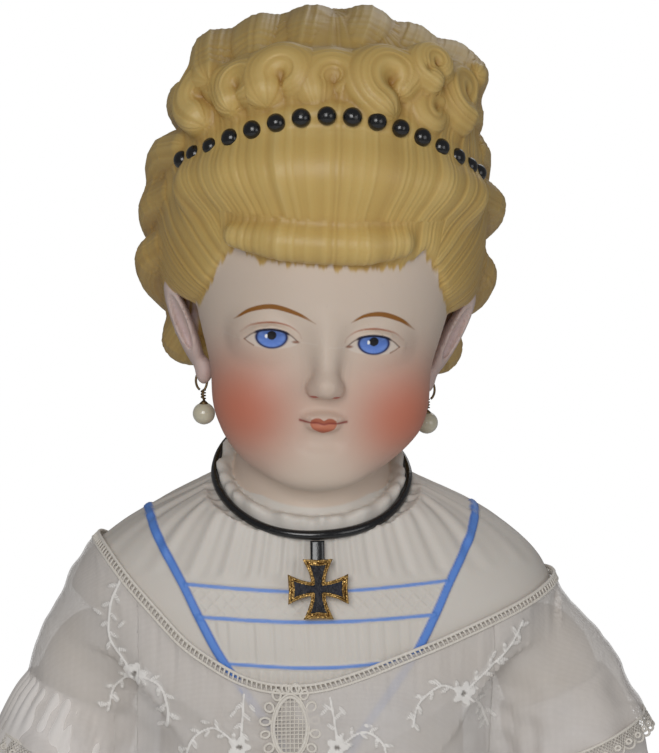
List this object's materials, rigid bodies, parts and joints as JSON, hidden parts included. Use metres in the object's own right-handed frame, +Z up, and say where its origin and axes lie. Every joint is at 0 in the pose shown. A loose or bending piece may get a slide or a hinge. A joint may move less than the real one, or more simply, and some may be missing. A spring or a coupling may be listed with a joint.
{
  "type": "porcelain doll",
  "caption": "Standing lady doll with a moulded bisque shoulder-head, stuffed cloth body, bisque hands and boots, and a long white lawn dress",
  "frame": {"origin": "centre of the skirt's hem on the surface that the doll stands on", "axes": "+Z up, the doll faces -Y, the doll's left hand is towards +X"},
  "size_m": [0.292, 0.292, 0.5599],
  "materials": {
    "bisque": "matte unglazed tinted bisque, hand painted",
    "black_glass": "glossy black glaze",
    "black_ribbon": "narrow black ribbon with a slight sheen",
    "gilt_metal": "worn antique gilt",
    "black_enamel": "textured black enamel",
    "bronze_wire": "dark antique bronze",
    "pearl": "cream imitation pearl",
    "muslin": "unbleached plain-weave muslin",
    "stuffing": "packed cotton",
    "thread": "waxed linen thread",
    "lawn": "sheer white cotton lawn with white embroidery",
    "net_lace": "white cotton net and lace",
    "button_shell": "small shell buttons",
    "cotton": "white cotton"
  },
  "bodies": {
    "doll_body": {"shoulder_head": "bisque", "hair_beads": "black_glass", "choker_ribbon": "black_ribbon", "torso_cover": "muslin", "torso_stuffing": "stuffing", "plate_stitches": "thread", "dress_bodice": "lawn", "neckline_trim": "lawn", "neck_medallion": "net_lace", "back_buttons": "button_shell", "waistband": "lawn", "dress_skirt": "lawn", "hem_lace": "net_lace", "petticoat": "cotton"},
    "pendant": {"pendant_strap": "black_ribbon", "cross_pendant": "gilt_metal", "cross_inlay": "black_enamel"},
    "earring_left": {"ear_wire_left": "bronze_wire", "pearl_left": "pearl"},
    "arm_left": {"upper_arm_left": "muslin", "sleeve_left": "lawn", "sleeve_cap_left": "lawn"},
    "lower_arm_left": {"elbow_left": "muslin", "forearm_left": "bisque", "arm_binding_left": "thread"},
    "leg_left": {"thigh_left": "muslin", "drawers_left": "cotton"},
    "shank_left": {"calf_left": "muslin", "lower_leg_left": "bisque", "leg_binding_left": "thread"},
    "earring_right": {"ear_wire_right": "bronze_wire", "pearl_right": "pearl"},
    "arm_right": {"upper_arm_right": "muslin", "sleeve_right": "lawn", "sleeve_cap_right": "lawn"},
    "lower_arm_right": {"elbow_right": "muslin", "forearm_right": "bisque", "arm_binding_right": "thread"},
    "leg_right": {"thigh_right": "muslin", "drawers_right": "cotton"},
    "shank_right": {"calf_right": "muslin", "lower_leg_right": "bisque", "leg_binding_right": "thread"}
  },
  "joints": [
    {"name": "pendant_swing", "type": "hinge", "parent": "doll_body", "child": "pendant", "pos_m": [0, -0.0224, 0.4554], "axis": [-1, 0, 0], "range_deg": [0, 45]},
    {"name": "earring_left_swing", "type": "hinge", "parent": "doll_body", "child": "earring_left", "pos_m": [0.02336, 0.002, 0.4838], "axis": [1, 0, 0], "range_deg": [-10, 35]},
    {"name": "shoulder_left", "type": "hinge", "parent": "doll_body", "child": "arm_left", "pos_m": [0.046, 0, 0.428], "axis": [-1, 0, 0], "range_deg": [-35, 90]},
    {"name": "elbow_left", "type": "hinge", "parent": "arm_left", "child": "lower_arm_left", "pos_m": [0.07784, 0, 0.34919], "axis": [-1, 0, 0], "range_deg": [0, 55]},
    {"name": "hip_left", "type": "hinge", "parent": "doll_body", "child": "leg_left", "pos_m": [0.0175, 0, 0.296], "axis": [-1, 0, 0], "range_deg": [-8, 18]},
    {"name": "knee_left", "type": "hinge", "parent": "leg_left", "child": "shank_left", "pos_m": [0.0175, 0, 0.154], "axis": [1, 0, 0], "range_deg": [0, 25]},
    {"name": "earring_right_swing", "type": "hinge", "parent": "doll_body", "child": "earring_right", "pos_m": [-0.02138, 0.002, 0.48615], "axis": [1, 0, 0], "range_deg": [-10, 35]},
    {"name": "shoulder_right", "type": "hinge", "parent": "doll_body", "child": "arm_right", "pos_m": [-0.046, 0, 0.428], "axis": [-1, 0, 0], "range_deg": [-35, 90]},
    {"name": "elbow_right", "type": "hinge", "parent": "arm_right", "child": "lower_arm_right", "pos_m": [-0.07784, 0, 0.34919], "axis": [-1, 0, 0], "range_deg": [0, 55]},
    {"name": "hip_right", "type": "hinge", "parent": "doll_body", "child": "leg_right", "pos_m": [-0.0175, 0, 0.296], "axis": [-1, 0, 0], "range_deg": [-8, 18]},
    {"name": "knee_right", "type": "hinge", "parent": "leg_right", "child": "shank_right", "pos_m": [-0.0175, 0, 0.154], "axis": [1, 0, 0], "range_deg": [0, 25]}
  ]
}
